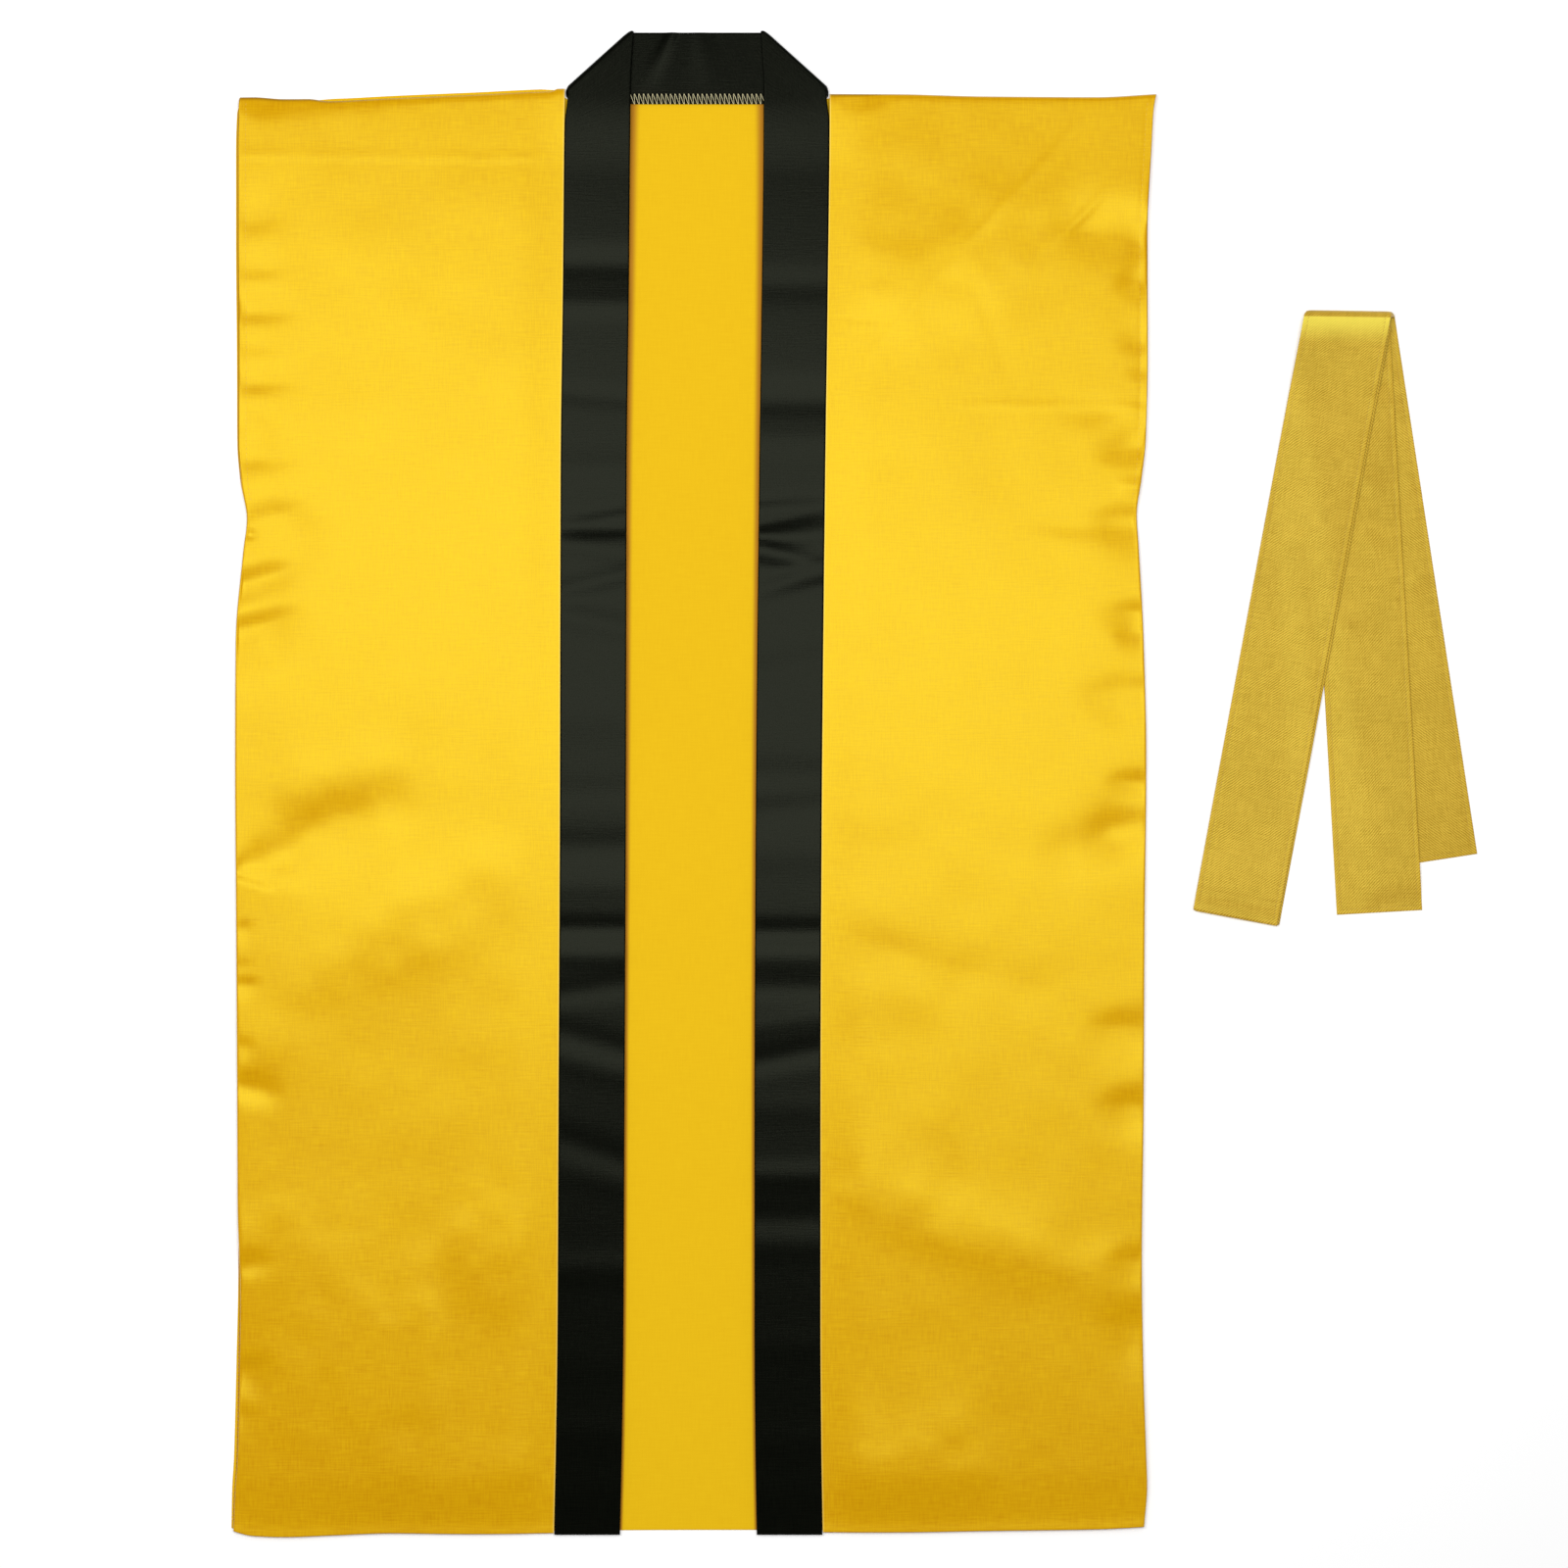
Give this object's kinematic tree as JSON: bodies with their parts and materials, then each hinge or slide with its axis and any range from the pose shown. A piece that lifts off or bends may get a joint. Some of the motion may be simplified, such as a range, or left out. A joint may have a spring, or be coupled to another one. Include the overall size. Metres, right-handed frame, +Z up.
{
  "type": "happi coat with belt",
  "caption": "Long sleeveless satin happi coat with a contrasting doubled collar band, laid flat face up, with its own folded belt beside it.",
  "frame": {"origin": "on the surface the coat lies on, under the middle of the box round coat and belt", "axes": "+Z up off the surface, +Y from the hem towards the collar, +X from the wearer's right front towards the left front and the belt"},
  "size_m": [0.7881, 0.9529, 0.0087],
  "materials": {
    "satin_yellow": "yellow satin, face side, soft sheen",
    "satin_inside": "yellow satin, inside, matt",
    "satin_black": "near-black satin, soft sheen",
    "belt_twill": "gold yellow satin with a fine twill, topstitched edges"
  },
  "bodies": {
    "root": {"back_panel": "satin_inside", "right_front": "satin_yellow", "left_front": "satin_yellow", "collar_band": "satin_black", "neck_seam_allowance": "satin_black", "belt": "belt_twill"}
  },
  "joints": []
}
